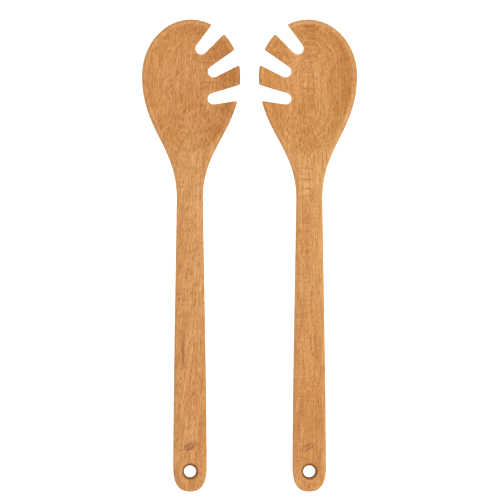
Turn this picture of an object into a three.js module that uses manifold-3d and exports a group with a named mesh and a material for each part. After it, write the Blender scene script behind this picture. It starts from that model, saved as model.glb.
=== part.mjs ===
// A pair of one-piece beech salad servers, lying dished side up with their bowls towards +Y.
// The two are mirror images. Each is a dished bowl with three finger slots on its inner side,
// a long flat-fronted handle and a countersunk hanging hole.
//
// Each server is first made with a flat front at z = 0 and its handle's end at y = 0. Then its
// slots and its hole are cut, and last it is bent to its side profile, so that it rests on z = 0.

import * as THREE from "three";
import { mergeVertices, toCreasedNormals } from "three/addons/utils/BufferGeometryUtils.js";
import Module from "manifold-3d";

const { clamp, lerp, smoothstep, degToRad } = THREE.MathUtils;
const wasm = await Module();
wasm.setup();

// Driving dimensions, in millimetres and degrees.

const LENGTH = 318; // handle's end to bowl's tip
const BOWL_GAP = 12.3; // between the two bowls where they lie closest

// Outline, seen from the front
const BOWL_HALF_WIDTH = 33.2;
const TIP_TO_WIDEST = 37.9;
const TIP_TO_NECK = 120.2;
const SHOULDER_PULL = 36.2; // how long the bowl keeps its width before it draws in
const NECK_PULL = 34.8; // how long the neck keeps its width before it opens into the bowl
const NECK_HALF_WIDTH = 8.86;
const HANDLE_HALF_WIDTH = 11.4; // at the start of the rounded end
const HANDLE_SWELL = [0.36, 0.9]; // share of the widening that pulls at one and two thirds of the handle
const END_ROUND = 16.9; // length of the rounded end
const END_SQUARENESS = 2.5; // 2 is an ellipse, more is squarer
const BOWL_OFFSET = 0.85; // bowl's centre from the handle's centre line, towards the slots

// Thickness and side profile
const EDGE_THICK = 4.6; // all round the outline
const EDGE_ROUND = 2.6; // round-over of the front edge
const HANDLE_THICK = 11.6;
const NECK_THICK = 9.5;
const BOWL_THICK = 14.1;
const END_TAPER = 12; // length over which the back rounds up to the handle's end
const TIP_TO_KEEL = 56; // bowl's lowest point
const REST_FLAT = 0.6; // sanded off the back where the server rests
const NECK_CLEARANCE = 5; // under the neck
const TIP_RISE = 4.3; // front of the tip above the front of the bowl

// Dish hollowed into the bowl: a flattened ball, longer towards the neck
const DISH_DEPTH = 8;
const SIDE_RIM = 3.2; // left between the dish and the bowl's sides
const TIP_RIM = 2.8;
const NECK_LAND = 31; // left between the dish and the neck
const DISH_BALL = 40; // height of the ball's half

// Finger slots: where the round inner end's centre is, and which way the slot points
const SLOTS = [
  { fromAxis: 7.65, fromTip: 19.2, angle: 48 },
  { fromAxis: 15.95, fromTip: 34.6, angle: 29.8 },
  { fromAxis: 15.8, fromTip: 52.9, angle: 11.8 },
];
const SLOT_ROUND = 3.9; // radius of the inner end
const SLOT_FLARE = 8.2; // angle between the two walls

// Hanging hole
const HOLE_RADIUS = 4.1;
const HOLE_FROM_END = 13.7;
const SINK = 1.65; // countersink at either face, as deep as it is wide

// Fineness of the mesh
const TIP_STEPS = 12;
const SHOULDER_STEPS = 14;
const HANDLE_STEPS = 14;
const END_STEPS = 9;
const ROUND_STEPS = 3;
const RIB_STEPS = 5;
const SLOT_END_STEPS = 8;
const HOLE_SIDES = 32;
const CREASE_ANGLE = 35; // sharper edges than this are shaded sharp
const SPINE_SHARE = 0.65; // of each rounded end, over which the ribs fan round one point

// Places along the server that follow from the sizes above
const WIDEST_Y = LENGTH - TIP_TO_WIDEST;
const NECK_Y = LENGTH - TIP_TO_NECK;
const KEEL_Y = LENGTH - TIP_TO_KEEL;
const AXIS_SPACING = 2 * (BOWL_HALF_WIDTH + BOWL_OFFSET) + BOWL_GAP;
const DISH_HALF_WIDTH = BOWL_HALF_WIDTH - SIDE_RIM;
const DISH_TO_TIP = TIP_TO_WIDEST - TIP_RIM;
const DISH_TO_NECK = TIP_TO_NECK - TIP_TO_WIDEST - NECK_LAND;
const END_TOP = HANDLE_THICK - REST_FLAT;
const NECK_TOP = NECK_THICK + NECK_CLEARANCE;
const BOWL_TOP = BOWL_THICK - REST_FLAT;

const point = (x, y) => new THREE.Vector2(x, y);

// The outline's +X half, from the bowl's tip to the handle's end.
function halfOutline(detail = 1) {
  const tip = new THREE.EllipseCurve(0, WIDEST_Y, BOWL_HALF_WIDTH, TIP_TO_WIDEST, Math.PI / 2, 0, true);
  const shoulder = new THREE.CubicBezierCurve(
    point(BOWL_HALF_WIDTH, WIDEST_Y),
    point(BOWL_HALF_WIDTH, WIDEST_Y - SHOULDER_PULL),
    point(NECK_HALF_WIDTH, NECK_Y + NECK_PULL),
    point(NECK_HALF_WIDTH, NECK_Y),
  );
  const handle = new THREE.CubicBezierCurve(
    point(NECK_HALF_WIDTH, NECK_Y),
    point(lerp(NECK_HALF_WIDTH, HANDLE_HALF_WIDTH, HANDLE_SWELL[0]), lerp(NECK_Y, END_ROUND, 1 / 3)),
    point(lerp(NECK_HALF_WIDTH, HANDLE_HALF_WIDTH, HANDLE_SWELL[1]), lerp(NECK_Y, END_ROUND, 2 / 3)),
    point(HANDLE_HALF_WIDTH, END_ROUND),
  );
  const points = [
    ...tip.getPoints(TIP_STEPS * detail).slice(0, -1),
    ...shoulder.getPoints(SHOULDER_STEPS * detail).slice(0, -1),
    ...handle.getPoints(HANDLE_STEPS * detail).slice(0, -1),
    ...endRound(END_STEPS * detail),
  ];
  points[0].x = 0;
  return points;
}

// The handle's end is a quarter of a squared-off ellipse.
function endRound(steps) {
  const power = 2 / END_SQUARENESS;
  const points = [];
  for (let i = 0; i <= steps; i++) {
    const turn = (i / steps) * (Math.PI / 2);
    const across = i < steps ? Math.cos(turn) ** power : 0;
    points.push(point(HANDLE_HALF_WIDTH * across, END_ROUND * (1 - Math.sin(turn) ** power)));
  }
  return points;
}

const FINE_OUTLINE = halfOutline(6); // six times finer than the mesh, to read widths from

function halfWidth(y) {
  const after = FINE_OUTLINE.findIndex((p) => p.y <= y);
  if (after <= 0) return 0;
  const [above, below] = [FINE_OUTLINE[after - 1], FINE_OUTLINE[after]];
  return lerp(above.x, below.x, (above.y - y) / (above.y - below.y));
}

// Thickness along the centre line. It comes down to the edge's own thickness at both ends.
function keelThick(y) {
  if (y < END_TAPER) {
    const short = 1 - Math.max(y, 0) / END_TAPER;
    return lerp(EDGE_THICK, HANDLE_THICK, Math.sqrt(1 - short * short));
  }
  if (y < NECK_Y) return lerp(HANDLE_THICK, NECK_THICK, smoothstep(y, END_TAPER, NECK_Y));
  if (y < KEEL_Y) return lerp(NECK_THICK, BOWL_THICK, smoothstep(y, NECK_Y, KEEL_Y));
  const beyond = (y - KEEL_Y) / (LENGTH - KEEL_Y);
  return lerp(BOWL_THICK, EDGE_THICK, beyond * beyond);
}

// The back is part of an ellipse in every cross-section, and meets the outline at the edge's thickness.
function backHeight(x, y) {
  const thick = keelThick(y);
  const spread = halfWidth(y) / Math.sqrt(Math.max(1 - (EDGE_THICK / thick) ** 2, 1e-9));
  if (spread < 1e-6) return -thick;
  return -thick * Math.sqrt(Math.max(1 - (x / spread) ** 2, 0));
}

function dishDepth(x, y) {
  const reach = y > WIDEST_Y ? DISH_TO_TIP : DISH_TO_NECK;
  const away = Math.hypot(x / DISH_HALF_WIDTH, (y - WIDEST_Y) / reach);
  if (away >= 1) return 0;
  const rim = DISH_BALL - DISH_DEPTH;
  const spread = 1 - (rim / DISH_BALL) ** 2;
  return DISH_BALL * Math.sqrt(1 - away * away * spread) - rim;
}

// Which way is inwards at each point of the half outline.
function inwardNormals(outline) {
  return outline.map((p, i) => {
    const before = outline[i - 1] ?? point(-outline[1].x, outline[1].y);
    const after = outline[i + 1] ?? point(-outline[i - 1].x, outline[i - 1].y);
    return point(after.y - before.y, before.x - after.x).normalize();
  });
}

// A rib runs from the outline to the centre line: over the round-over and the dish on the front,
// and straight under the edge on the back.
function rib(edge, inward) {
  const lowest = SPINE_SHARE * END_ROUND;
  const highest = LENGTH - SPINE_SHARE * TIP_TO_WIDEST;
  const spine = point(0, clamp(edge.y, lowest, highest));
  const front = [];
  for (let i = 0; i <= ROUND_STEPS; i++) {
    const turn = (i / ROUND_STEPS) * (Math.PI / 2);
    const at = edge.clone().addScaledVector(inward, EDGE_ROUND * (1 - Math.cos(turn)));
    front.push(new THREE.Vector3(at.x, at.y, -EDGE_ROUND * (1 - Math.sin(turn))));
  }
  const flatStart = edge.clone().addScaledVector(inward, EDGE_ROUND);
  const back = [new THREE.Vector3(edge.x, edge.y, -EDGE_THICK)];
  for (let i = 1; i <= RIB_STEPS; i++) {
    const over = flatStart.clone().lerp(spine, i / RIB_STEPS);
    const under = edge.clone().lerp(spine, i / RIB_STEPS);
    front.push(new THREE.Vector3(over.x, over.y, -dishDepth(over.x, over.y)));
    back.push(new THREE.Vector3(under.x, under.y, backHeight(under.x, under.y)));
  }
  return { front, back };
}

// The uncut server as a closed mesh: ribs on both halves, joined by strips.
function blankGeometry() {
  const outline = halfOutline();
  const inward = inwardNormals(outline);
  const ribs = outline.map((edge, i) => rib(edge, inward[i]));
  const corners = [];
  const triangle = (a, b, c) => {
    const flat = a.distanceTo(b) < 1e-4 || b.distanceTo(c) < 1e-4 || c.distanceTo(a) < 1e-4;
    if (!flat) corners.push(a, b, c);
  };
  const strip = (near, far, side) => {
    for (let k = 0; k + 1 < near.length; k++) {
      const quad = [near[k], near[k + 1], far[k + 1], far[k]];
      const [a, b, c, d] = quad.map((p) => new THREE.Vector3(side * p.x, p.y, p.z));
      if (side > 0) {
        triangle(a, b, c);
        triangle(a, c, d);
      } else {
        triangle(a, c, b);
        triangle(a, d, c);
      }
    }
  };
  for (const side of [1, -1]) {
    for (let i = 0; i + 1 < ribs.length; i++) {
      strip(ribs[i].front, ribs[i + 1].front, side);
      strip([ribs[i].back[0], ribs[i].front[0]], [ribs[i + 1].back[0], ribs[i + 1].front[0]], side);
      strip(ribs[i].back.toReversed(), ribs[i + 1].back.toReversed(), side);
    }
  }
  const geometry = new THREE.BufferGeometry().setFromPoints(corners);
  return moved(geometry, (p) => p.setX(p.x + BOWL_OFFSET * smoothstep(p.y, NECK_Y, WIDEST_Y)));
}

// A slot's outline: a round inner end at the origin, and walls that open along +X past the bowl.
function slotShape() {
  const half = degToRad(SLOT_FLARE / 2);
  const far = 2 * BOWL_HALF_WIDTH;
  const farHalf = SLOT_ROUND * Math.cos(half) + (far + SLOT_ROUND * Math.sin(half)) * Math.tan(half);
  const tangent = Math.PI / 2 + half;
  const shape = new THREE.Shape();
  shape.moveTo(far, farHalf);
  shape.lineTo(SLOT_ROUND * Math.cos(tangent), SLOT_ROUND * Math.sin(tangent));
  shape.absarc(0, 0, SLOT_ROUND, tangent, 2 * Math.PI - tangent, false);
  shape.lineTo(far, -farHalf);
  shape.closePath();
  return shape;
}

function slotGeometry({ fromAxis, fromTip, angle }) {
  const height = 4 * BOWL_THICK;
  const options = { depth: height, bevelEnabled: false, curveSegments: SLOT_END_STEPS };
  return new THREE.ExtrudeGeometry(slotShape(), options)
    .translate(0, 0, -height / 2)
    .rotateZ(degToRad(angle))
    .translate(fromAxis, LENGTH - fromTip, 0);
}

// The hole and its two countersinks, turned about one line.
function holeGeometry() {
  const past = 6; // how far the cutter stands out of either face
  const wide = HOLE_RADIUS + SINK + past;
  const profile = [
    point(0, -END_TOP - past),
    point(wide, -END_TOP - past),
    point(HOLE_RADIUS, -END_TOP + SINK),
    point(HOLE_RADIUS, -SINK),
    point(wide, past),
    point(0, past),
  ];
  return new THREE.LatheGeometry(profile, HOLE_SIDES).rotateX(Math.PI / 2).translate(0, HOLE_FROM_END, 0);
}

// Height of the bent server's front along its length.
function frontHeight(y) {
  if (y < NECK_Y) return lerp(END_TOP, NECK_TOP, smoothstep(y, 0, NECK_Y));
  if (y < KEEL_Y) return lerp(NECK_TOP, BOWL_TOP, smoothstep(y, NECK_Y, KEEL_Y));
  return BOWL_TOP + TIP_RISE * ((y - KEEL_Y) / (LENGTH - KEEL_Y)) ** 2;
}

function moved(geometry, move) {
  const position = geometry.getAttribute("position");
  const p = new THREE.Vector3();
  for (let i = 0; i < position.count; i++) {
    move(p.fromBufferAttribute(position, i));
    position.setXYZ(i, p.x, p.y, p.z);
  }
  return geometry;
}

function solidOf(geometry) {
  const bare = geometry.index ? geometry.toNonIndexed() : geometry.clone();
  bare.deleteAttribute("normal");
  bare.deleteAttribute("uv");
  const merged = mergeVertices(bare, 1e-3);
  const mesh = new wasm.Mesh({
    numProp: 3,
    vertProperties: merged.getAttribute("position").array,
    triVerts: new Uint32Array(merged.index.array),
  });
  return new wasm.Manifold(mesh);
}

function geometryOf(solid) {
  const { vertProperties, triVerts } = solid.getMesh();
  return new THREE.BufferGeometry()
    .setAttribute("position", new THREE.BufferAttribute(vertProperties, 3))
    .setIndex(new THREE.BufferAttribute(triVerts, 1));
}

// The server whose slots open towards +X.
function serverGeometry() {
  let solid = solidOf(blankGeometry());
  for (const slot of SLOTS) solid = solid.subtract(solidOf(slotGeometry(slot)));
  solid = solid.subtract(solidOf(holeGeometry()));
  const bent = moved(geometryOf(solid), (p) => p.setZ(Math.max(p.z + frontHeight(p.y), 0)));
  return toCreasedNormals(bent, degToRad(CREASE_ANGLE));
}

function serverMesh(name, side, geometry) {
  const beech = new THREE.MeshStandardMaterial({ color: 0xd3965c, roughness: 0.6, metalness: 0 });
  const mesh = new THREE.Mesh(geometry, beech);
  mesh.name = name;
  mesh.position.set((side * AXIS_SPACING) / 2, -LENGTH / 2, 0);
  mesh.scale.x = -side;
  return mesh;
}

const server = serverGeometry();
const group = new THREE.Group();
group.add(serverMesh("left_server", -1, server));
group.add(serverMesh("right_server", 1, server.clone()));

export default group;
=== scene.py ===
# %% [markdown]
# # A pair of beech salad servers
#
# The real object is two loose pieces of beech, mirror images of each other. Each is cut from one
# board: sawn to its outline, its back rounded, its bowl dished with a gouge, three finger slots
# sawn in, a hanging hole drilled, and everything sanded soft and oiled. This lesson makes one
# server in that same order, turns a copy of it into the other, and spends its second half on
# the wood.
#
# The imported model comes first. It is the frame that everything else is measured from.

# %% Load the frame
import math

import bpy
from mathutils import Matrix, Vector, geometry


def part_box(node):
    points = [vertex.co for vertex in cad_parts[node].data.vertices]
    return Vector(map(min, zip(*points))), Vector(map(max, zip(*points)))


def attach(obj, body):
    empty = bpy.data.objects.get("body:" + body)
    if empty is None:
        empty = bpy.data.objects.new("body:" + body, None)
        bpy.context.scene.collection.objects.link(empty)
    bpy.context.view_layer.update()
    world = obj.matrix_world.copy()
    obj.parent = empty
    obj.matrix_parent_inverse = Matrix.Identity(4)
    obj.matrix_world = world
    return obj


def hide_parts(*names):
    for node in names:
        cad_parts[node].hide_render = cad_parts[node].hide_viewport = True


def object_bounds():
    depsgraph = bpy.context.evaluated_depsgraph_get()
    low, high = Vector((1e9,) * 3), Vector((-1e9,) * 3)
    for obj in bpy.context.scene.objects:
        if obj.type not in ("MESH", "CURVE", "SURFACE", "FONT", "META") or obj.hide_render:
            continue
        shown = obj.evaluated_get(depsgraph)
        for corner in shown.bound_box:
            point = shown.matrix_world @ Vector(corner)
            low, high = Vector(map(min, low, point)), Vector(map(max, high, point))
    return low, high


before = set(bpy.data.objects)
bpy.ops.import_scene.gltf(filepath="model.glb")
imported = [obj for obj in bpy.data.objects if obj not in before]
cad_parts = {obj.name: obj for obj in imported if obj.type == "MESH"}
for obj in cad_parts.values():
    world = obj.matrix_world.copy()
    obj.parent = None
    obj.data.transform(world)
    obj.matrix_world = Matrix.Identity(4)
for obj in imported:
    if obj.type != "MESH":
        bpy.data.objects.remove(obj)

cad_bounds = [list(corner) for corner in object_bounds()]
left_low, left_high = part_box("left_server")
print("frame:", sorted(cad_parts), [round(v, 4) for v in cad_bounds[0] + cad_bounds[1]])

# %% [markdown]
# ## The picture
#
# The servers are looked at from straight above, with the bowls at the top. A long lens from far
# away keeps the view almost free of perspective, so that outlines keep their true proportions.

# %% Camera
PICTURE_WIDTH = 0.3366
LENS = 250.0
SENSOR = 36.0
FOCUS_HEIGHT = 0.011
PAIR_IN_PICTURE = (-0.00027, -0.004)

pair_low, pair_high = (Vector(corner) for corner in cad_bounds)
pair_middle = (pair_low + pair_high) / 2

camera_data = bpy.data.cameras.new("camera")
camera_data.lens = LENS
camera_data.sensor_width = SENSOR
camera_data.clip_end = 50.0
camera = bpy.data.objects.new("camera", camera_data)
bpy.context.scene.collection.objects.link(camera)
camera.location = (
    pair_middle.x - PAIR_IN_PICTURE[0],
    pair_middle.y - PAIR_IN_PICTURE[1],
    FOCUS_HEIGHT + PICTURE_WIDTH * LENS / SENSOR,
)
bpy.context.scene.camera = camera
print("camera is", round(camera.location.z, 3), "m above the floor")

# %% [markdown]
# ## Helpers for working at the bench
#
# Blender's operators act on everything that is selected, so each step first clears the selection
# and then chooses just the vertices it needs. By hand that is a box drawn with the mouse. Here it
# is a test of each vertex's place, which chooses the same ones every time.


# %% Bench helpers
def only(piece):
    """Leaves edit mode and selects one piece."""
    if bpy.context.object and bpy.context.object.mode != "OBJECT":
        bpy.ops.object.mode_set(mode="OBJECT")
    bpy.ops.object.select_all(action="DESELECT")
    piece.select_set(True)
    bpy.context.view_layer.objects.active = piece


def pick(piece, test):
    """Opens a piece in edit mode with the vertices selected that pass the test."""
    only(piece)
    bpy.ops.object.mode_set(mode="EDIT")
    bpy.ops.mesh.select_mode(type="VERT")
    bpy.ops.mesh.select_all(action="DESELECT")
    bpy.ops.object.mode_set(mode="OBJECT")
    for vertex in piece.data.vertices:
        vertex.select = test(vertex.co)
    bpy.ops.object.mode_set(mode="EDIT")


def everything(place):
    """The test that every vertex passes."""
    return True


def outward(piece):
    """Turns every face to look out."""
    pick(piece, everything)
    bpy.ops.mesh.normals_make_consistent(inside=False)
    bpy.ops.object.mode_set(mode="OBJECT")


def report(step, piece):
    """Prints how many faces a piece has by now, and its size."""
    size = [round(1000 * d, 1) for d in piece.dimensions]
    print(step + ":", len(piece.data.polygons), "faces,", size, "mm")


# %% [markdown]
# ## Sizes
#
# The server is made lying flat, its front at height 0, the end of its handle at the origin and
# its bowl towards +Y. The length comes from the frame, and the rest are the maker's own
# measurements, in metres. Those of the outline come first, and each later step brings its own.

# %% Sizes of the outline
LENGTH = left_high.y - left_low.y
BOWL_HALF_WIDTH = 0.0332
NECK_HALF_WIDTH = 0.00886
HANDLE_HALF_WIDTH = 0.0114
BOWL_OFFSET = 0.00085
END_ROUND = 0.0169
WIDEST_Y = LENGTH - 0.0379
NECK_Y = LENGTH - 0.1202
print("length", round(1000 * LENGTH, 1), "mm, neck at", round(1000 * NECK_Y, 1), "mm")

# %% [markdown]
# ## The outline
#
# The maker draws the outline on the board with a template. Here it is a closed Bezier curve with
# eight points: the tip, the widest places, the neck, the start of the rounded end, and the end.
# A curve needs far fewer points than a mesh for the same smooth line, and it becomes a mesh
# afterwards. The bowl sits a little off the handle's line, towards the slots.

# %% Points down one side
QUARTER_CIRCLE = 0.5523
SQUARED_END = 0.688
SHOULDER_PULL = 0.0362
NECK_PULL = 0.0348
HANDLE_SWELL = (0.36, 0.9)


def share(start, end, part):
    """The value that is a part of the way from start to end."""
    return start + (end - start) * part


def handle_pull(part, swell):
    """The place that the handle's side bends towards, a part of the way down it."""
    return Vector((
        share(NECK_HALF_WIDTH, HANDLE_HALF_WIDTH, swell),
        share(NECK_Y, END_ROUND, part),
        0,
    ))


def knot(x, y, before, after):
    """A curve point, and the places that the line before and after it bends towards."""
    place = Vector((x, y, 0))
    return [place, Vector(before), Vector(after)]


tip_pull = BOWL_HALF_WIDTH * QUARTER_CIRCLE
end_pull = HANDLE_HALF_WIDTH * SQUARED_END
tip = knot(0, LENGTH, (-tip_pull, LENGTH, 0), (tip_pull, LENGTH, 0))
widest = knot(
    BOWL_HALF_WIDTH, WIDEST_Y,
    (BOWL_HALF_WIDTH, share(WIDEST_Y, LENGTH, QUARTER_CIRCLE), 0),
    (BOWL_HALF_WIDTH, WIDEST_Y - SHOULDER_PULL, 0),
)
neck = knot(
    NECK_HALF_WIDTH, NECK_Y,
    (NECK_HALF_WIDTH, NECK_Y + NECK_PULL, 0),
    handle_pull(1 / 3, HANDLE_SWELL[0]),
)
shoulder_of_end = knot(
    HANDLE_HALF_WIDTH, END_ROUND,
    handle_pull(2 / 3, HANDLE_SWELL[1]),
    (HANDLE_HALF_WIDTH, END_ROUND * (1 - SQUARED_END), 0),
)
end = knot(0, 0, (end_pull, 0, 0), (-end_pull, 0, 0))
right_half = [tip, widest, neck, shoulder_of_end, end]
print("curve points down one side:", len(right_half))

# %% Draw the outline
CURVE_STEPS = 24


def other_side(knots):
    """The same points on the other side, met in the opposite order."""
    flip = Vector((-1, 1, 1))
    return [[place * flip, after * flip, before * flip] for place, before, after in reversed(knots)]


def smooth_step(value, start, stop):
    """Climbs smoothly from 0 to 1 while value goes from start to stop."""
    part = min(max((value - start) / (stop - start), 0), 1)
    return part * part * (3 - 2 * part)


def bowl_shift(y):
    """How far the bowl has moved towards the slots, at a place along the server."""
    return BOWL_OFFSET * smooth_step(y, NECK_Y, WIDEST_Y)


def draw_outline():
    bpy.ops.object.select_all(action="DESELECT")
    bpy.ops.curve.primitive_bezier_circle_add()
    outline = bpy.context.object
    bpy.ops.object.mode_set(mode="EDIT")
    bpy.ops.curve.select_all(action="SELECT")
    bpy.ops.curve.subdivide(number_cuts=1)
    bpy.ops.object.mode_set(mode="OBJECT")
    outline.data.dimensions = "2D"
    outline.data.fill_mode = "NONE"
    outline.data.resolution_u = CURVE_STEPS
    knots = right_half + other_side(right_half[1:-1])
    for point, (place, before, after) in zip(outline.data.splines[0].bezier_points, knots):
        point.handle_left_type = "FREE"
        point.handle_right_type = "FREE"
        shift = Vector((bowl_shift(place.y), 0, 0))
        point.co = place + shift
        point.handle_left = before + shift
        point.handle_right = after + shift
    only(outline)
    bpy.ops.object.convert(target="MESH")
    return bpy.context.object


server = draw_outline()
report("outline", server)

# %% [markdown]
# ## The board, sawn to the outline
#
# The outline is filled and pulled down into a thick slab. The front edge is rounded over, as a
# router bit does it: each inset steps a little inwards and a little up, round a quarter circle.
# Insetting keeps the same distance from the outline everywhere, round the tip too, where a
# bevel's width would drift with the spacing of the points.

# %% Saw and round over
BOWL_THICK = 0.0141
EDGE_ROUND = 0.0026
ROUND_STEPS = 6


def saw_board(board, depth):
    """Fills the outline, pulls it down and rounds its front edge over."""
    pick(board, everything)
    bpy.ops.mesh.edge_face_add()
    bpy.ops.transform.translate(value=(0, 0, -EDGE_ROUND))
    bpy.ops.mesh.extrude_region_move(TRANSFORM_OT_translate={"value": (0, 0, -depth)})
    outward(board)
    pick(board, lambda place: place.z > -EDGE_ROUND - depth / 2)
    for step in range(ROUND_STEPS):
        now = math.radians(90 * step / ROUND_STEPS)
        then = math.radians(90 * (step + 1) / ROUND_STEPS)
        bpy.ops.mesh.inset(
            thickness=EDGE_ROUND * (math.cos(now) - math.cos(then)),
            depth=EDGE_ROUND * (math.sin(then) - math.sin(now)),
        )
    bpy.ops.object.mode_set(mode="OBJECT")


saw_board(server, depth=2 * BOWL_THICK)
report("board", server)
print("front at", round(1000 * max(v.co.z for v in server.data.vertices), 3), "mm")

# %% [markdown]
# ## The round back
#
# A spokeshave leaves the back round in every cross-section. It could be pulled into shape row
# by row, but the rows would have to follow the outline too. The tool used here is a rod whose
# section is an ellipse that grows and shrinks along the server, and only what lies inside both
# the board and the rod is kept. The rod meets the board's side at the same depth everywhere, so
# the edge of the finished server keeps one thickness all the way round.


# %% Thickness along the middle
EDGE_THICK = 0.0046
HANDLE_THICK = 0.0116
NECK_THICK = 0.0095
END_TAPER = 0.012
KEEL_Y = LENGTH - 0.056
TRACE_STEPS = 80


def rise(part):
    """Climbs from 0 to 1 like a quarter circle."""
    return math.sqrt(1 - (1 - part) ** 2)


def thickness(y):
    """How thick the server is on its middle line, at a place along it."""
    if y < END_TAPER:
        return share(EDGE_THICK, HANDLE_THICK, rise(y / END_TAPER))
    if y < NECK_Y:
        return share(HANDLE_THICK, NECK_THICK, smooth_step(y, END_TAPER, NECK_Y))
    if y < KEEL_Y:
        return share(NECK_THICK, BOWL_THICK, smooth_step(y, NECK_Y, KEEL_Y))
    beyond = (y - KEEL_Y) / (LENGTH - KEEL_Y)
    return share(BOWL_THICK, EDGE_THICK, beyond**2)


def trace_side():
    """Close-set places down one side of the outline, from the tip to the end."""
    places = []
    for (start, _, leaving), (stop, arriving, _) in zip(right_half, right_half[1:]):
        places += geometry.interpolate_bezier(start, leaving, arriving, stop, TRACE_STEPS)
    return places


side = trace_side()


def half_width(y):
    """Half the outline's width, at a place along the server."""
    for above, below in zip(side, side[1:]):
        if above.y > y >= below.y:
            return share(above.x, below.x, (above.y - y) / (above.y - below.y))
    return 0


def rod_size(y):
    """Half the width and the depth of the rod that rounds the back at this place."""
    thick = thickness(y)
    return half_width(y) / math.sqrt(1 - (EDGE_THICK / thick) ** 2), thick


for y in (0.005, 0.1, NECK_Y, KEEL_Y, LENGTH - 0.005):
    half_there = round(1000 * half_width(y), 2)
    thick_there = round(1000 * thickness(y), 2)
    print("at", round(1000 * y), "mm: half width", half_there, "thick", thick_there)

# %% Modifiers and cuts
def settle(piece):
    """Writes a piece's place and turn into its mesh."""
    only(piece)
    bpy.ops.object.transform_apply(location=True, rotation=True, scale=True)


def finish_with(piece, kind, **settings):
    """Adds a modifier, sets it and applies it."""
    only(piece)
    bpy.ops.object.modifier_add(type=kind)
    modifier = piece.modifiers[-1]
    for name, value in settings.items():
        setattr(modifier, name, value)
    bpy.ops.object.modifier_apply(modifier=modifier.name)


def cut(piece, tool, operation="DIFFERENCE"):
    """Cuts a piece with a tool, and puts the tool away."""
    finish_with(piece, "BOOLEAN", operation=operation, solver="EXACT", object=tool)
    bpy.data.objects.remove(tool)


# %% Shape the back with a rod
ROD_SECTIONS = 72
ROD_SIDES = 64
HAIR = 0.00002


def rod_places():
    """Along the server, closer together towards both ends."""
    turns = [math.pi * step / ROD_SECTIONS for step in range(ROD_SECTIONS + 1)]
    return [share(HAIR, LENGTH - HAIR, (1 - math.cos(turn)) / 2) for turn in turns]


def make_rod():
    """A rod pulled out section by section, each scaled to the server's size there."""
    places = rod_places()
    bpy.ops.object.select_all(action="DESELECT")
    bpy.ops.mesh.primitive_circle_add(
        vertices=ROD_SIDES, radius=1, fill_type="NGON",
        location=(0, places[0], 0), rotation=(math.radians(90), 0, 0),
    )
    rod = bpy.context.object
    settle(rod)
    pick(rod, everything)
    wide, deep = rod_size(places[0])
    bpy.ops.transform.resize(value=(wide, 1, deep), center_override=(0, places[0], 0))
    for before, y in zip(places, places[1:]):
        step_over = bowl_shift(y) - bowl_shift(before)
        bpy.ops.mesh.extrude_region_move(TRANSFORM_OT_translate={"value": (step_over, y - before, 0)})
        wider, deeper = rod_size(y)
        bpy.ops.transform.resize(
            value=(wider / wide, 1, deeper / deep),
            center_override=(bowl_shift(y), y, 0),
        )
        wide, deep = wider, deeper
    outward(rod)
    return rod


cut(server, make_rod(), "INTERSECT")
report("rounded back", server)

# %% [markdown]
# ## The dish
#
# A round-nosed gouge hollows the bowl. The hollow could be sculpted, but its rim has to follow
# the outline at an even distance. Part of a flattened ball does that, longer towards the neck
# than towards the tip, so a sphere is stretched by halves and taken away.

# %% Hollow the dish
DISH_DEPTH = 0.008
DISH_BALL = 0.04
SIDE_RIM = 0.0032
TIP_RIM = 0.0028
NECK_LAND = 0.031

dish_half_width = BOWL_HALF_WIDTH - SIDE_RIM
dish_to_tip = LENGTH - TIP_RIM - WIDEST_Y
dish_to_neck = WIDEST_Y - NECK_Y - NECK_LAND
ball_height = DISH_BALL - DISH_DEPTH
ball_spread = math.sqrt(1 - (ball_height / DISH_BALL) ** 2)


def make_ball():
    """The ball whose lowest part is the dish."""
    bpy.ops.object.select_all(action="DESELECT")
    bpy.ops.mesh.primitive_uv_sphere_add(segments=128, ring_count=64, radius=1)
    ball = bpy.context.object
    for reach, test in (
        (dish_to_tip, lambda place: place.y > HAIR),
        (dish_to_neck, lambda place: place.y < -HAIR),
    ):
        pick(ball, test)
        bpy.ops.transform.resize(value=(1, reach / ball_spread, 1), center_override=(0, 0, 0))
    pick(ball, everything)
    bpy.ops.transform.resize(
        value=(dish_half_width / ball_spread, 1, DISH_BALL), center_override=(0, 0, 0)
    )
    bpy.ops.transform.translate(value=(BOWL_OFFSET, WIDEST_Y, ball_height))
    bpy.ops.object.mode_set(mode="OBJECT")
    return ball


cut(server, make_ball())
report("dished", server)

# %% [markdown]
# ## The finger slots
#
# Three slots turn one side of the bowl into four fingers. Each is a drilled round end with two
# saw cuts running out from it, which open a little towards the edge. They are cut after the
# dish, so that their walls run cleanly through its finished slope.

# %% Saw the slots
SLOT_ROUND = 0.0039
SLOT_FLARE = math.radians(8.2)
SLOTS = [
    {"from_axis": 0.00765, "from_tip": 0.0192, "angle": 48.0},
    {"from_axis": 0.01595, "from_tip": 0.0346, "angle": 29.8},
    {"from_axis": 0.0158, "from_tip": 0.0529, "angle": 11.8},
]


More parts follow.
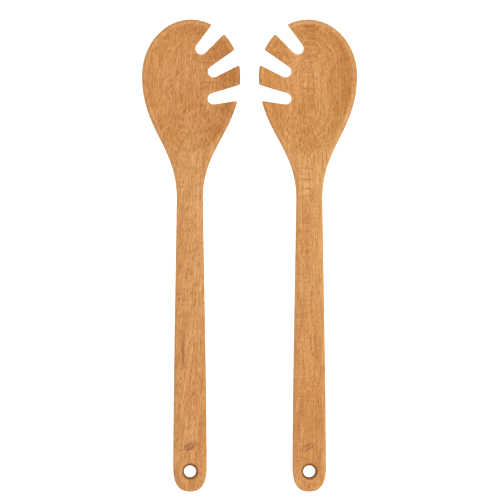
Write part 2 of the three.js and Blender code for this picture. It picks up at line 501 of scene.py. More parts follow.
def make_slot_cutter(slot):
    """A disc with one half pulled out past the edge of the bowl and spread, then thickened."""
    reach = 2 * BOWL_HALF_WIDTH
    far_half = SLOT_ROUND + reach * math.tan(SLOT_FLARE / 2)
    bpy.ops.object.select_all(action="DESELECT")
    bpy.ops.mesh.primitive_circle_add(vertices=64, radius=SLOT_ROUND, fill_type="NGON")
    cutter = bpy.context.object
    pick(cutter, lambda place: place.x > HAIR)
    bpy.ops.transform.translate(value=(reach, 0, 0))
    bpy.ops.transform.resize(value=(1, far_half / SLOT_ROUND, 1), center_override=(reach, 0, 0))
    pick(cutter, everything)
    bpy.ops.transform.translate(value=(0, 0, 2 * BOWL_THICK))
    bpy.ops.mesh.extrude_region_move(TRANSFORM_OT_translate={"value": (0, 0, -4 * BOWL_THICK)})
    outward(cutter)
    cutter.rotation_euler.z = math.radians(slot["angle"])
    cutter.location = (slot["from_axis"], LENGTH - slot["from_tip"], 0)
    settle(cutter)
    return cutter


for slot in SLOTS:
    cut(server, make_slot_cutter(slot))
    report("slot at " + str(slot["angle"]) + " degrees", server)

# %% [markdown]
# ## The hanging hole
#
# The hole is drilled through the handle near its end, and both its mouths are opened with a
# countersink. Drill and countersinks are one turned tool here, which keeps them on one centre.

# %% Drill the hole
HOLE_RADIUS = 0.0041
HOLE_FROM_END = 0.0137
SINK = 0.00165
OVERRUN = 0.006
REST_FLAT = 0.0006

handle_end_thick = HANDLE_THICK - REST_FLAT


def make_drill():
    """A cylinder with a cone grown out of each end."""
    bpy.ops.object.select_all(action="DESELECT")
    bpy.ops.mesh.primitive_cylinder_add(
        vertices=96, radius=HOLE_RADIUS, depth=handle_end_thick - 2 * SINK,
        location=(0, HOLE_FROM_END, -handle_end_thick / 2),
    )
    drill = bpy.context.object
    settle(drill)
    grow = (HOLE_RADIUS + SINK + OVERRUN) / HOLE_RADIUS
    for way, test in (
        (1, lambda place: place.z > -handle_end_thick / 2),
        (-1, lambda place: place.z < -handle_end_thick / 2),
    ):
        pick(drill, test)
        bpy.ops.mesh.extrude_region_move(
            TRANSFORM_OT_translate={"value": (0, 0, way * (SINK + OVERRUN))}
        )
        bpy.ops.transform.resize(value=(grow, grow, 1), center_override=(0, HOLE_FROM_END, 0))
    outward(drill)
    return drill


cut(server, make_drill())
report("drilled", server)

# %% [markdown]
# ## Sanding
#
# Sandpaper takes every sharp edge off. A bevel would have to find its way along edges that so
# many cuts have left uneven. Instead a fine, even mesh stands in for the wood's surface, and
# smoothing it a few times wears the edges of the slots, the dish and the hole to a small radius
# without moving the broad surfaces.

# %% Sand it soft
SAND_GRAIN = 0.0006
SAND_STROKES = 6

finish_with(server, "REMESH", mode="VOXEL", voxel_size=SAND_GRAIN, adaptivity=0)
finish_with(server, "SMOOTH", factor=0.5, iterations=SAND_STROKES)
report("sanded", server)

# %% [markdown]
# ## The bend
#
# Seen from the side a server isn't flat: the handle climbs to the neck, the bowl sinks again and
# its tip turns up. A plain bend makes only one arc, so a lattice with one row every few
# millimetres lifts the wood to that line, as a jig would. The server then stands on two small
# flats, where the back is sanded level.

# %% Bend it and level its back
BEND_ROWS = 40
NECK_CLEARANCE = 0.005
TIP_RISE = 0.0043
NECK_TOP = NECK_THICK + NECK_CLEARANCE
BOWL_TOP = BOWL_THICK - REST_FLAT


def front_height(y):
    """How high the front lies above the table, at a place along the server."""
    if y < NECK_Y:
        return share(handle_end_thick, NECK_TOP, smooth_step(y, 0, NECK_Y))
    if y < KEEL_Y:
        return share(NECK_TOP, BOWL_TOP, smooth_step(y, NECK_Y, KEEL_Y))
    return BOWL_TOP + TIP_RISE * ((y - KEEL_Y) / (LENGTH - KEEL_Y)) ** 2


def bend(piece):
    """Lifts a flat piece to the height of its front."""
    bpy.ops.object.select_all(action="DESELECT")
    bpy.ops.object.add(type="LATTICE", location=(0, LENGTH / 2, 0))
    jig = bpy.context.object
    row_gap = LENGTH / (BEND_ROWS - 3)
    jig.scale = (4 * BOWL_HALF_WIDTH, row_gap * (BEND_ROWS - 1), 4 * BOWL_THICK)
    jig.data.points_u = 2
    jig.data.points_v = BEND_ROWS
    jig.data.points_w = 2
    jig.data.interpolation_type_v = "KEY_CARDINAL"
    jig.data.interpolation_type_u = "KEY_LINEAR"
    jig.data.interpolation_type_w = "KEY_LINEAR"
    for point in jig.data.points:
        y = LENGTH / 2 + point.co.y * jig.scale.y
        lift = front_height(min(max(y, 0), LENGTH))
        point.co_deform.z = point.co.z + lift / jig.scale.z
    finish_with(piece, "LATTICE", object=jig)
    bpy.data.objects.remove(jig)


bend(server)
pick(server, lambda place: place.z < 0)
bpy.ops.transform.resize(value=(1, 1, 0), center_override=(0, 0, 0))
bpy.ops.object.mode_set(mode="OBJECT")
report("bent", server)
print("lowest", round(1000 * min(v.co.z for v in server.data.vertices), 3), "mm")

# %% [markdown]
# ## The pair
#
# The left server goes to its place in the frame, with its fingers towards the middle. The right
# one is a copy of it seen in a mirror. A mirror modifier would make one piece of the two, and
# each has to lift by itself. A mirrored mesh is inside out, so its faces are turned to look
# outwards again.

# %% Lay out the pair
handle_axis = left_high.x - BOWL_HALF_WIDTH - BOWL_OFFSET

server.name = "left_beech_server"
server.data.name = server.name
server.location = (handle_axis, left_low.y, 0)
settle(server)

only(server)
bpy.ops.object.duplicate()
right = bpy.context.object
right.name = "right_beech_server"
right.data.name = right.name
right.scale.x = -1
settle(right)
outward(right)

for piece in (server, right):
    only(piece)
    bpy.ops.object.shade_smooth()

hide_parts("left_server")
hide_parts("right_server")
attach(server, "left")
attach(right, "right")
report("left server", server)
report("right server", right)

# %% [markdown]
# ## Wood, and how a board is cut from the tree
#
# Every mark in beech belongs to the tree it grew in. Growth rings lie round the pith, fibres run
# up the trunk, and rays run outwards from the pith like thin upright ribbons. So the finish
# first asks where each point of the server was in its tree: how far round, up and out. A cut
# across the rays shows them as short dark dashes, and a cut along them shows them as bars.
# Front, back and sides then all come from the same wood, which a picture of grain laid over
# each face couldn't give.
#
# Each effect is a shader node group with named inputs, so that it can be tried by itself and
# used for both servers.


# %% Helpers for wiring nodes
def feed(tree, socket, value):
    """Joins a socket to an output, or sets it to a plain value."""
    if isinstance(value, bpy.types.NodeSocket):
        tree.links.new(value, socket)
    else:
        socket.default_value = value


def add_node(tree, kind, title, inputs=(), **settings):
    """Adds a shader node, sets it up and feeds its inputs."""
    node = tree.nodes.new("ShaderNode" + kind)
    node.label = title
    node.location = (220 * len(tree.nodes), 0)
    for name, value in settings.items():
        setattr(node, name, value)
    for key, value in dict(inputs).items():
        feed(tree, node.inputs[key], value)
    return node


def maths(tree, operation, first, second=0.0, third=0.0, title=""):
    inputs = {0: first, 1: second, 2: third}
    return add_node(tree, "Math", title, inputs, operation=operation).outputs[0]


def vectors(tree, operation, first, second=(0, 0, 0)):
    return add_node(tree, "VectorMath", "", {0: first, 1: second}, operation=operation).outputs[0]


def length(tree, vector):
    return add_node(tree, "VectorMath", "", {0: vector}, operation="LENGTH").outputs["Value"]


def parts(tree, vector):
    """The X, Y and Z of a vector."""
    return add_node(tree, "SeparateXYZ", "", {0: vector}).outputs


def between(tree, value, start, stop, low=0.0, high=1.0, title=""):
    """Goes smoothly from low to high while value goes from start to stop."""
    inputs = {"Value": value, 1: start, 2: stop, 3: low, 4: high}
    node = add_node(tree, "MapRange", title, inputs, interpolation_type="SMOOTHSTEP")
    return node.outputs[0]


def blend(tree, part, first, second, title="", mode="MIX"):
    """Mixes two colours."""
    node = add_node(tree, "Mix", title, data_type="RGBA", blend_type=mode)
    feed(tree, node.inputs[0], part)
    feed(tree, node.inputs[6], first)
    feed(tree, node.inputs[7], second)
    return node.outputs[2]


def noise(tree, place, size, detail=2.0, title="", roughness=0.5):
    """Noise whose grains are about as large as size, in metres."""
    inputs = {
        "Vector": vectors(tree, "DIVIDE", place, size),
        "Scale": 1.0,
        "Detail": detail,
        "Roughness": roughness,
    }
    return add_node(tree, "TexNoise", title, inputs).outputs[0]


# %% Helpers for node groups
def new_group(name, inputs, outputs):
    """An empty node group with its sockets, and its inner ends."""
    group = bpy.data.node_groups.new(name, "ShaderNodeTree")
    sockets = group.interface
    for title, (kind, value) in inputs.items():
        socket = sockets.new_socket(title, in_out="INPUT", socket_type="NodeSocket" + kind)
        if value is not None:
            socket.default_value = value
    for title, kind in outputs.items():
        sockets.new_socket(title, in_out="OUTPUT", socket_type="NodeSocket" + kind)
    inner = group.nodes.new("NodeGroupInput").outputs
    result = group.nodes.new("NodeGroupOutput")
    result.location = (6000, 0)
    return group, inner, result.inputs


def use(tree, group, inputs):
    """Places a group in a material, and gives back its outputs."""
    return add_node(tree, "Group", group.name, inputs, node_tree=group).outputs


# %% [markdown]
# ### Where a point was in the tree
#
# Distance from the pith gives "out". The angle about the pith, times how far out, gives "round".
# Slow noise bends both a little, since no trunk is straight, and the grain leans.

# %% Node group: place in the tree
TRUNK_BENDS = (0.04, 0.16, 0.04)

in_tree, given, result = new_group(
    "place in the tree",
    {
        "Place": ("Vector", None),
        "Pith": ("Vector", (0, 0, -0.06)),
        "Lean": ("Float", 0.02),
        "Wander": ("Float", 0.002),
    },
    {"Wood place": "Vector"},
)
from_pith = vectors(in_tree, "SUBTRACT", given["Place"], given["Pith"])
wander_noise = noise(in_tree, from_pith, TRUNK_BENDS, title="slow bends")
wander = maths(in_tree, "MULTIPLY", maths(in_tree, "SUBTRACT", wander_noise, 0.5), given["Wander"])
axes = parts(in_tree, from_pith)
leaning = maths(in_tree, "MULTIPLY", axes["Y"], given["Lean"])
across = maths(in_tree, "SUBTRACT", maths(in_tree, "ADD", axes["X"], wander), leaning)
upward = maths(in_tree, "ADD", axes["Z"], wander)
flat_place = add_node(in_tree, "CombineXYZ", "", {"X": across, "Z": upward}).outputs[0]
out = length(in_tree, flat_place)
angle = maths(in_tree, "ARCTAN2", across, upward)
round_pith = maths(in_tree, "MULTIPLY", angle, out)
wood_place = add_node(in_tree, "CombineXYZ", "", {"X": round_pith, "Y": axes["Y"], "Z": out})
feed(in_tree, result["Wood place"], wood_place.outputs[0])
print("made the group", in_tree.name)

# %% [markdown]
# ### Growth rings
#
# In beech the rings are faint: each year the wood grows a little darker, ends in a fine line
# and starts again pale. Fine noise along the rings keeps them from looking drawn.

# %% Node group: growth rings
YEARS_SIZE = (0.03, 0.12, 0.006)
UNEVEN_BY = 0.004

rings, given, result = new_group(
    "growth rings",
    {"Wood place": ("Vector", None), "Ring gap": ("Float", 0.0024)},
    {"Late wood": "Float"},
)
years = noise(rings, given["Wood place"], YEARS_SIZE, detail=3.0, title="good and bad years")
radius = parts(rings, given["Wood place"])["Z"]
uneven = maths(rings, "MULTIPLY_ADD", years, UNEVEN_BY, radius)
age = maths(rings, "DIVIDE", uneven, given["Ring gap"])
season = maths(rings, "FRACT", age)
ripening = between(rings, season, 0.25, 0.9, title="darkens towards autumn")
winter = between(rings, season, 0.93, 1.0, 1.0, 0.0, title="starts again in spring")
feed(rings, result["Late wood"], maths(rings, "MULTIPLY", ripening, winter))
print("made the group", rings.name)

# %% [markdown]
# ### Fibres
#
# Fibres and pores are far finer than the rings. Three noises drawn out along the grain give
# short pores, long fine fibres and broad streaks.

# %% Node group: fibres
FIBRE_SIZE = (0.0006, 0.018, 0.0009)
STREAK_SIZE = (0.0026, 0.034, 0.005)

fibres, given, result = new_group(
    "fibres",
    {"Wood place": ("Vector", None), "Pore size": ("Vector", (0.0005, 0.002, 0.0007))},
    {"Pores": "Float", "Fibres": "Float", "Streaks": "Float"},
)
in_wood = given["Wood place"]
short = noise(fibres, in_wood, given["Pore size"], detail=2.0, title="pores", roughness=0.6)
long = noise(fibres, in_wood, FIBRE_SIZE, detail=3.0, title="fibres", roughness=0.6)
broad = noise(fibres, in_wood, STREAK_SIZE, detail=3.0, title="streaks")
feed(fibres, result["Pores"], between(fibres, short, 0.25, 0.75))
feed(fibres, result["Fibres"], between(fibres, long, 0.28, 0.72))
feed(fibres, result["Streaks"], between(fibres, broad, 0.3, 0.7))
print("made the group", fibres.name)

# %% [markdown]
# ### Ray flecks
#
# A ray is a ribbon about a millimetre thick with its cell sheath, a few millimetres tall and
# long in the direction away from the pith. Voronoi cells of those proportions, each
# filled to a random strength, are the rays.

# %% Node group: ray flecks
WOBBLE_SIZE = (0.002, 0.005, 0.01)
CROOKED_BY = 0.0016

flecks, given, result = new_group(
    "ray flecks",
    {
        "Wood place": ("Vector", None),
        "Ray size": ("Vector", (0.0011, 0.0034, 0.012)),
        "Amount": ("Float", 0.7),
    },
    {"Fleck": "Float"},
)
wobble = noise(flecks, given["Wood place"], WOBBLE_SIZE, title="crooked rays")
shove = maths(flecks, "MULTIPLY", maths(flecks, "SUBTRACT", wobble, 0.5), CROOKED_BY)
crooked = vectors(flecks, "ADD", given["Wood place"], shove)
cells_place = vectors(flecks, "DIVIDE", crooked, given["Ray size"])
cells = add_node(flecks, "TexVoronoi", "rays", {"Vector": cells_place, "Scale": 1.0})
strength = add_node(flecks, "SeparateColor", "", {0: cells.outputs["Color"]}).outputs[0]
threshold = maths(flecks, "SUBTRACT", 1.0, given["Amount"])
chosen = between(flecks, strength, threshold, 1.0)
lens = between(flecks, cells.outputs["Distance"], 0.18, 0.52, 1.0, 0.0, title="lens shape")
feed(flecks, result["Fleck"], maths(flecks, "MULTIPLY", lens, chosen))
print("made the group", flecks.name)

# %% [markdown]
# ### Cross-bars
#
# In a narrow strip of each board the rays lie nearly flat in the surface and show their broad
# sides, as fine dark bars that run across the grain. The strip leans with the grain.

# %% Node group: cross-bars
BAR_STRIP = 0.0075
BAR_SIZE = (0.016, 0.00085, 0.01)
BARS_APART = (0.02, 0.012, 0.02)

cross_bars, given, result = new_group(
    "cross-bars",
    {"Place": ("Vector", None), "Middle": ("Vector", (0, 0, 0)), "Lean": ("Float", 0.0)},
    {"Bars": "Float"},
)
off_middle = vectors(cross_bars, "SUBTRACT", given["Place"], given["Middle"])
off_axes = parts(cross_bars, off_middle)
drift = maths(cross_bars, "MULTIPLY", off_axes["Y"], given["Lean"])
sideways = maths(cross_bars, "SUBTRACT", off_axes["X"], drift)
from_strip = maths(cross_bars, "ABSOLUTE", sideways)
strip = between(cross_bars, from_strip, 0.3 * BAR_STRIP, BAR_STRIP, 1.0, 0.0)
lines = noise(cross_bars, off_middle, BAR_SIZE, detail=1.0, title="bars")
groups = noise(cross_bars, off_middle, BARS_APART, detail=1.0, title="where bars gather")
dark_lines = between(cross_bars, lines, 0.48, 0.68)
gathered = between(cross_bars, groups, 0.3, 0.6)
dark_lines = maths(cross_bars, "MULTIPLY", dark_lines, gathered)
feed(cross_bars, result["Bars"], maths(cross_bars, "MULTIPLY", dark_lines, strip))
print("made the group", cross_bars.name)

# %% [markdown]
# ### Streaks of dark wood
#
# Single marks, such as a mineral streak or a dark bar where a few rays lie together, are soft
# spots at known places. Fibre noise frays them, so that they belong to the grain.

# %% Node group: dark mark
mark, given, result = new_group(
    "dark mark",
    {
        "Place": ("Vector", None),
        "Middle": ("Vector", (0, 0, 0)),
        "Half size": ("Vector", (0.001, 0.01, 0.01)),
        "Frayed by": ("Float", 0.5),
    },
    {"Mark": "Float"},
)
from_middle = vectors(mark, "SUBTRACT", given["Place"], given["Middle"])
in_sizes = vectors(mark, "DIVIDE", from_middle, given["Half size"])
reach = length(mark, in_sizes)
soft_spot = between(mark, reach, 0.3, 1.0, 1.0, 0.0)
frayed = between(mark, given["Frayed by"], 0.0, 0.7, 0.45, 1.0)
feed(mark, result["Mark"], maths(mark, "MULTIPLY", soft_spot, frayed))
print("made the group", mark.name)

# %% [markdown]
# ### End grain
#
# Where the surface faces along the fibres it shows their cut ends, which drink more oil and
# turn darker. That is at the tip, at the handle's end and in the walls of slots and hole.

# %% Node group: end grain
end_grain, given, result = new_group(
    "end grain",
    {"Normal": ("Vector", None)},
    {"End grain": "Float"},
)
facing = maths(end_grain, "ABSOLUTE", parts(end_grain, given["Normal"])["Y"])
feed(end_grain, result["End grain"], between(end_grain, facing, 0.35, 1.0))
print("made the group", end_grain.name)

# %% [markdown]
# ### Painted edge highlight
#
# The rounded rims are painted paler, as a painted highlight, and are made smoother. Cycles knows how
# sharply a mesh curves outwards at each point, and noise breaks the painted highlight into patches.
# It is painted strongest on the outer rims and weakest on the fingers in the middle of the pair.

# %% Node group: painted edge highlight
PATCHY_HIGHLIGHT_SIZE = (0.006, 0.012, 0.006)

edge_highlight, given, result = new_group(
    "painted edge highlight",
    {"Place": ("Vector", None), "Starts at": ("Float", 0.502), "Full at": ("Float", 0.524)},
    {"Edge highlight": "Float"},
)
outward_bend = add_node(edge_highlight, "NewGeometry", "").outputs["Pointiness"]
edges = between(edge_highlight, outward_bend, given["Starts at"], given["Full at"])
highlight_patches = noise(edge_highlight, given["Place"], PATCHY_HIGHLIGHT_SIZE, title="highlight_patches")
patchy_highlight = between(edge_highlight, highlight_patches, 0.3, 0.65, 0.4, 1.0)
sideways = parts(edge_highlight, given["Place"])["X"]
outer_side = between(edge_highlight, maths(edge_highlight, "ABSOLUTE", sideways), 0.012, 0.03, 0.15, 1.0)
patchy_highlight = maths(edge_highlight, "MULTIPLY", patchy_highlight, outer_side)
feed(edge_highlight, result["Edge highlight"], maths(edge_highlight, "MULTIPLY", edges, patchy_highlight))
print("made the group", edge_highlight.name)

# %% [markdown]
# ### Painted shade in the bowl, and a darker handle end
#
# The dished bowl is made warmer and darker, partly as its own tone and partly as painted shade,
# and most on its right, where the painted shade stands for the dish wall that faces away from the
# light. The end of the handle is made darker too. The neck between them stays palest.

# %% Node group: painted bowl shade and darker end
shade_and_end_group, given, result = new_group(
    "painted bowl shade and darker end",
    {
        "Place": ("Vector", None),
        "Neck": ("Vector", (0, left_low.y + NECK_Y, 0)),
        "Right wall shade": ("Float", 0.3),
    },
    {"Bowl shade and dark end": "Float"},
)
off_neck = vectors(shade_and_end_group, "SUBTRACT", given["Place"], given["Neck"])
off_neck_axes = parts(shade_and_end_group, off_neck)
beyond_neck = off_neck_axes["Y"]
towards_right_wall = maths(shade_and_end_group, "DIVIDE", off_neck_axes["X"], BOWL_HALF_WIDTH, title="towards the right wall")
# painted shade: each bowl is darker on its right and paler on its left, as its dish walls face the
# light
right_wall_shade = maths(shade_and_end_group, "MULTIPLY_ADD", towards_right_wall, given["Right wall shade"], 1.0, title="painted shade on the right wall")
in_bowl = between(shade_and_end_group, beyond_neck, 0.005, 0.05, 0.0, 1.0, title="bowl")
in_bowl = maths(shade_and_end_group, "MULTIPLY", in_bowl, right_wall_shade)
darker_end = between(shade_and_end_group, beyond_neck, -0.13, -0.04, 1.3, 0.0, title="darker towards the end")
feed(shade_and_end_group, result["Bowl shade and dark end"], maths(shade_and_end_group, "ADD", in_bowl, darker_end))
print("made the group", shade_and_end_group.name)

# %% [markdown]
# ### Scorched wood at the hole
#
# A drill and a countersink run hot in beech and brown the wood that they leave, most of all at
# the rim. The mask falls off outwards from the hole's own wall. Its middle lies a little to the
# right of and above the hole's, which paints shade on the countersink wall that faces away from the
# light.

# %% Node group: scorched hole
SCORCH_SHADE_SHIFT = (0.0004, 0.0003)
BROWN_TO = HOLE_RADIUS + 0.4 * SINK
CLEAN_FROM = HOLE_RADIUS + 1.3 * SINK

scorch, given, result = new_group(
    "scorched hole",
    {"Place": ("Vector", None), "Middle": ("Vector", (0, 0, 0))},
    {"Scorch": "Float"},
)
from_hole = vectors(scorch, "SUBTRACT", given["Place"], given["Middle"])
away = length(scorch, vectors(scorch, "MULTIPLY", from_hole, (1, 1, 0)))
feed(scorch, result["Scorch"], between(scorch, away, BROWN_TO, CLEAN_FROM, 1.0, 0.0))
print("made the group", scorch.name)

# %% [markdown]
# ### A small leaf, burnt in
#
# Above each hole a hot stamp leaves a little beech leaf. Its blade is as wide as a parabola at
# every place along it, and its midrib and side veins are thin lines that stay unburnt.

# %% Node group: burnt leaf
LEAF_FROM_END = 0.0307
LEAF_HALF_LENGTH = 0.0052
LEAF_HALF_WIDTH = 0.0024
LEAF_TURN = math.radians(24)
STALK = 0.0022
VEIN_GAP = 0.0019
VEIN = 0.00018

leaf, given, result = new_group(
    "burnt leaf",
    {"Place": ("Vector", None), "Middle": ("Vector", (0, 0, 0)), "Normal": ("Vector", None)},
    {"Burn": "Float"},
)
on_leaf = vectors(leaf, "SUBTRACT", given["Place"], given["Middle"])
turn = {"Vector": on_leaf, "Angle": -LEAF_TURN}
turned = add_node(leaf, "VectorRotate", "", turn, rotation_type="Z_AXIS")
spots = parts(leaf, turned.outputs[0])
along = spots["X"]
off = maths(leaf, "ABSOLUTE", spots["Y"])
share_along = maths(leaf, "DIVIDE", along, LEAF_HALF_LENGTH)
narrowing = maths(leaf, "MULTIPLY", share_along, share_along)
blade_width = maths(leaf, "MULTIPLY", maths(leaf, "SUBTRACT", 1.0, narrowing), LEAF_HALF_WIDTH)
past_blade = maths(leaf, "SUBTRACT", off, blade_width)
blade = between(leaf, past_blade, -0.0002, 0.0001, 1.0, 0.0, title="blade")
slanting = maths(leaf, "SUBTRACT", along, off)
in_gap = maths(leaf, "FLOORED_MODULO", slanting, VEIN_GAP)
to_vein = maths(leaf, "ABSOLUTE", maths(leaf, "SUBTRACT", in_gap, VEIN_GAP / 2))
side_veins = between(leaf, to_vein, VEIN, 2 * VEIN, title="side veins")
midrib = between(leaf, off, VEIN, 2 * VEIN, title="midrib")
veined = maths(leaf, "MULTIPLY", blade, maths(leaf, "MULTIPLY", side_veins, midrib))
from_stalk = maths(leaf, "ABSOLUTE", maths(leaf, "ADD", along, LEAF_HALF_LENGTH + STALK / 4))
on_stalk = between(leaf, from_stalk, 0.7 * STALK, 0.8 * STALK, 1.0, 0.0)
stalk = maths(leaf, "MULTIPLY", maths(leaf, "SUBTRACT", 1.0, midrib), on_stalk)
facing_up = parts(leaf, given["Normal"])["Z"]
on_front = between(leaf, facing_up, 0.5, 0.8)
feed(leaf, result["Burn"], maths(leaf, "MULTIPLY", maths(leaf, "MAXIMUM", veined, stalk), on_front))
print("made the group", leaf.name)

# %% [markdown]
# ## The two pieces of beech
#
# Both servers get the same finish, a thin coat of oil that leaves the wood half matt, but no two
# boards are alike. The left one grew well away from the pith, so its front shows the rays as
# dashes. The right one grew nearer to it, so its dashes are shorter and its rings show more.
# Two separate materials would drift apart, so one function makes both from a board's values.
#
# A board says how pale and how warm its wood is, where the pith was, how its grain leans, and how
# strongly each effect shows. Places are measured sideways from the handle's middle line, along
# from the handle's end and up from the table. The pith has only the first and the last of these.
# Each single mark has its middle, its half size and its strength.

# %% The two boards
LEFT_WOOD = {
    "pale": (0.662, 0.339, 0.111, 1),
    "warm": (0.546, 0.226, 0.057, 1),
    "pith": (0.03, -0.13),
    "lean": 0.08,
    "rings": 0.35,
    "ray_size": (0.001, 0.004, 0.012),
    "pore_size": (0.00045, 0.0026, 0.0007),
    "rays": 0.85,
    "edge_highlight_amount": 0.3,
    "right_shade": 0.5,
    "bars": 0.36,
    "bars_off": -0.0017,
    "bars_lean": 0.1,
    "leaf": 0.7,
    "marks": [
        ((-0.0046, 0.094, 0.012), (0.0015, 0.015, 0.02), 1.0),
        ((-0.0046, 0.2052, 0.014), (0.005, 0.0006, 0.02), 0.4),
        ((0.0116, 0.276, 0.012), (0.0085, 0.0008, 0.02), 0.8),
        ((0.0089, 0.2894, 0.012), (0.005, 0.0009, 0.02), 0.6),
    ],
}
RIGHT_WOOD = {
    "pale": (0.7, 0.378, 0.126, 1),
    "warm": (0.558, 0.228, 0.053, 1),
    "pith": (-0.004, -0.07),
    "lean": -0.02,
    "rings": 0.8,
    "ray_size": (0.001, 0.0032, 0.012),
    "pore_size": (0.00042, 0.0017, 0.0008),
    "rays": 0.7,
    "edge_highlight_amount": 0.5,
    "right_shade": 0.3,
    "bars": 0.4,
    "bars_off": -0.0041,
    "bars_lean": 0.028,
    "leaf": 0.45,
    "marks": [
        ((-0.0015, 0.2105, 0.014), (0.0068, 0.0008, 0.02), 0.85),
        ((-0.001, 0.2041, 0.014), (0.0065, 0.001, 0.02), 0.55),
        ((-0.001, 0.2197, 0.014), (0.005, 0.0007, 0.02), 0.35),
        ((-0.001, 0.1846, 0.014), (0.005, 0.0007, 0.02), 0.4),
        ((0.0037, 0.1018, 0.012), (0.0009, 0.0038, 0.02), 0.8),
        # partly painted shade: this dark line below the tip rim is partly a streak in the wood and
        # partly the shade of the dish wall there
        ((-0.0007, 0.3132, 0.012), (0.0075, 0.0009, 0.02), 0.5),
        ((0.0005, 0.3108, 0.012), (0.006, 0.0008, 0.02), 0.4),
        ((0.001, 0.2894, 0.012), (0.0045, 0.0008, 0.02), 0.5),
    ],
}
print("single marks: left", len(LEFT_WOOD["marks"]), "right", len(RIGHT_WOOD["marks"]))


# %% Masks over one server
def wood_masks(tree, wood, axis):
    """Every effect's mask by name, for a server whose middle line is at this X."""
    place = add_node(tree, "TexCoord", "").outputs["Object"]
    normal = add_node(tree, "NewGeometry", "").outputs["Normal"]
    pith = (axis + wood["pith"][0], 0, wood["pith"][1])
    neck = (axis, left_low.y + NECK_Y, 0)
    # painted shade: the scorch's middle is moved up and to the right, so the countersink wall facing
    # away from the light is browner
    hole = (axis + SCORCH_SHADE_SHIFT[0], left_low.y + HOLE_FROM_END + SCORCH_SHADE_SHIFT[1], 0)
    stamp = (axis, left_low.y + LEAF_FROM_END, 0)

    wood_place = use(tree, in_tree, {"Place": place, "Pith": pith, "Lean": wood["lean"]})[0]
    grain = use(tree, fibres, {"Wood place": wood_place, "Pore size": wood["pore_size"]})
    rays = {"Wood place": wood_place, "Ray size": wood["ray_size"], "Amount": wood["rays"]}
    strip = {"Place": place, "Middle": (axis + wood["bars_off"], 0, 0), "Lean": wood["bars_lean"]}
    return {
        "place": place,
        "late": use(tree, rings, {"Wood place": wood_place})[0],
        "pores": grain["Pores"],
        "fibres": grain["Fibres"],
        "streaks": grain["Streaks"],
        "flecks": use(tree, flecks, rays)[0],
        "bars": use(tree, cross_bars, strip)[0],
        "bowl_shade_and_dark_end": use(tree, shade_and_end_group, {"Place": place, "Neck": neck, "Right wall shade": wood["right_shade"]})[0],
        "ends": use(tree, end_grain, {"Normal": normal})[0],
        "edge_highlight": use(tree, edge_highlight, {"Place": place})[0],
        "scorch": use(tree, scorch, {"Place": place, "Middle": hole})[0],
        "burn": use(tree, leaf, {"Place": place, "Middle": stamp, "Normal": normal})[0],
    }


# %% Colour of the grown wood
LATE = (0.93, 0.87, 0.79, 1)
DULL = (0.74, 0.62, 0.46, 1)
BRIGHT = (1.2, 1.33, 1.56, 1)
RAY = (0.33, 0.115, 0.031, 1)
TONE_SIZE = (0.018, 0.06, 0.02)
TONE_FROM_NOISE = 0.62


def stain(tree, colour, mask, amount, tint, title, mode="MIX"):
    """Lays a tint over a colour where a mask is, as strongly as amount."""
    return blend(tree, maths(tree, "MULTIPLY", mask, amount), colour, tint, title, mode)


def grown_colour(tree, wood, masks):
    """Wood from pale to warm, with painted shade in the bowl, a darker handle end, and its rings,
    fibres and rays.
    """
    slow = noise(tree, masks["place"], TONE_SIZE, detail=3.0, title="tone")
    # the painted shade in the bowl and the darker handle end pull the tone towards warm
    shade_and_end_part = maths(tree, "MULTIPLY", masks["bowl_shade_and_dark_end"], 1 - TONE_FROM_NOISE)
    tone = maths(tree, "MULTIPLY_ADD", between(tree, slow, 0.25, 0.75), TONE_FROM_NOISE, shade_and_end_part)
    colour = blend(tree, tone, wood["pale"], wood["warm"], "tone")
    colour = stain(tree, colour, masks["streaks"], 0.4, wood["warm"], "streaks")
    colour = stain(tree, colour, masks["late"], wood["rings"], LATE, "late wood", "MULTIPLY")
    for name, amount in (("pores", 0.75), ("fibres", 0.8)):
        lights = blend(tree, masks[name], DULL, BRIGHT, name)
        colour = blend(tree, amount, colour, lights, name, "MULTIPLY")
    colour = stain(tree, colour, masks["flecks"], 0.8, RAY, "rays")
    return stain(tree, colour, masks["bars"], wood["bars"], RAY, "cross-bars")


# %% Marks of making and use, and a painted edge highlight
END = (0.4, 0.15, 0.042, 1)
EDGE_HIGHLIGHT_COLOUR = (0.68, 0.41, 0.18, 1)
BURNT = (0.16, 0.055, 0.018, 1)


def marked_colour(tree, wood, masks, axis, colour):
    """Adds the single dark marks, the end grain, the painted edge highlight, the scorched hole and
    the burnt leaf.
    """
    for (off, along, height), half_size, amount in wood["marks"]:
        dark = use(tree, mark, {
            "Place": masks["place"],
            "Middle": (axis + off, left_low.y + along, height),
            "Half size": half_size,
            "Frayed by": masks["pores"],
        })[0]
        colour = stain(tree, colour, dark, amount, RAY, "dark mark")
    colour = stain(tree, colour, masks["ends"], 0.45, END, "end grain")
    # painted highlight: the rounded rims are made paler
    colour = stain(tree, colour, masks["edge_highlight"], wood["edge_highlight_amount"], EDGE_HIGHLIGHT_COLOUR, "painted edge highlight")
    colour = stain(tree, colour, masks["scorch"], 0.6, BURNT, "scorched hole")
    return stain(tree, colour, masks["burn"], wood["leaf"], BURNT, "burnt leaf")


# %% Oiled beech
OPEN_PORES = 0.7
CLOSED_WOOD = 0.57
POLISH = 0.08
RELIEF = 0.00006


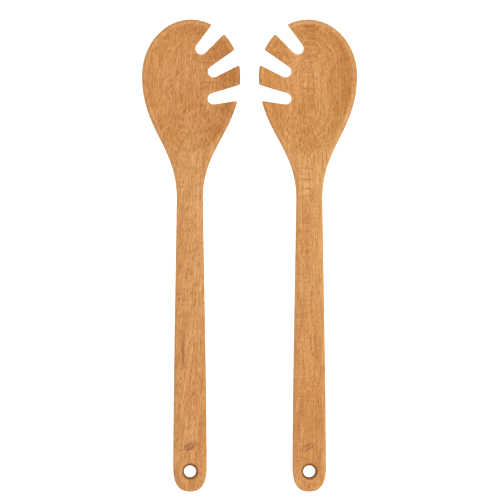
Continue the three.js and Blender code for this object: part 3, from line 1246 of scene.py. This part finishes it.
def make_beech(name, wood, axis):
    """The whole finish: colour, gloss and the low relief of pores, rays and stamp."""
    material = bpy.data.materials.new(name)
    material.use_nodes = True
    tree = material.node_tree
    tree.nodes.clear()
    masks = wood_masks(tree, wood, axis)
    colour = marked_colour(tree, wood, masks, axis, grown_colour(tree, wood, masks))

    roughness = between(tree, masks["pores"], 0.0, 1.0, OPEN_PORES, CLOSED_WOOD, "roughness")
    roughness = maths(tree, "SUBTRACT", roughness, maths(tree, "MULTIPLY", masks["edge_highlight"], POLISH))
    relief = maths(tree, "MULTIPLY", masks["pores"], 0.4)
    relief = maths(tree, "SUBTRACT", relief, masks["flecks"])
    relief = maths(tree, "SUBTRACT", relief, masks["burn"])
    bump = add_node(tree, "Bump", "relief", {"Height": relief, "Distance": RELIEF, "Strength": 0.6})
    shader = add_node(tree, "BsdfPrincipled", "oiled beech", {
        "Base Color": colour,
        "Roughness": roughness,
        "Normal": bump.outputs["Normal"],
        "IOR": 1.47,
        "Specular IOR Level": 0.3,
    })
    output = add_node(tree, "OutputMaterial", "")
    tree.links.new(shader.outputs[0], output.inputs[0])
    return material


server.data.materials.append(make_beech("left beech", LEFT_WOOD, handle_axis))
right.data.materials.append(make_beech("right beech", RIGHT_WOOD, -handle_axis))
print("materials:", [m.name for m in bpy.data.materials])

# %% [markdown]
# ## Floor and light
#
# The servers lie on a plain white table under soft light. A broad lamp straight above gives the
# dishes their shape. A weak one at the right lays a sheen on the walls that face it, and the
# pale room fills in the rest. A brighter room alone would flatten the dishes, so the table glows
# instead, as a lit-through product table does, and hardly any shadow is left on it.

# %% Table and lamps
KEY_WAY = Vector((0.06, -0.04, 0.997))
SIDE_WAY = Vector((0.7, 0.05, 0.71))
ROOM_LIGHT = 0.3
TABLE_GLOW = 0.92
TABLE_GAP = 0.0002

bpy.ops.object.select_all(action="DESELECT")
bpy.ops.mesh.primitive_plane_add(size=6, location=(0, 0, -TABLE_GAP))
floor = bpy.context.object
floor.name = "table"
settle(floor)
table_white = bpy.data.materials.new("table white")
table_white.use_nodes = True
table_shader = table_white.node_tree.nodes["Principled BSDF"].inputs
table_shader["Base Color"].default_value = (0.6, 0.6, 0.6, 1)
table_shader["Roughness"].default_value = 0.9
table_shader["Specular IOR Level"].default_value = 0.0
table_shader["Emission Color"].default_value = (1, 1, 1, 1)
table_shader["Emission Strength"].default_value = TABLE_GLOW
floor.data.materials.append(table_white)


def hang_lamp(name, way, far, size, power):
    """Hangs a round lamp that looks at the middle of the pair."""
    data = bpy.data.lights.new(name, "AREA")
    data.shape = "DISK"
    data.size = size
    data.energy = power
    lamp = bpy.data.objects.new(name, data)
    bpy.context.scene.collection.objects.link(lamp)
    lamp.location = pair_middle + way * far
    lamp.rotation_euler = way.to_track_quat("Z", "Y").to_euler()
    print(name, "at", [round(v, 3) for v in lamp.location])


hang_lamp("key lamp", KEY_WAY, far=3.0, size=1.2, power=71.5)
hang_lamp("side lamp", SIDE_WAY, far=2.0, size=0.9, power=6.0)

room = bpy.data.worlds.new("room")
room.use_nodes = True
room.node_tree.nodes["Background"].inputs["Color"].default_value = (1, 1, 1, 1)
room.node_tree.nodes["Background"].inputs["Strength"].default_value = ROOM_LIGHT
bpy.context.scene.world = room
bpy.context.scene.view_settings.view_transform = "Standard"
print("room light", ROOM_LIGHT, "table glow", TABLE_GLOW)

# %% [markdown]
# ## Sizes
#
# The imported model's box is printed.

# %% Sizes and finish
print("model:", cad_bounds)
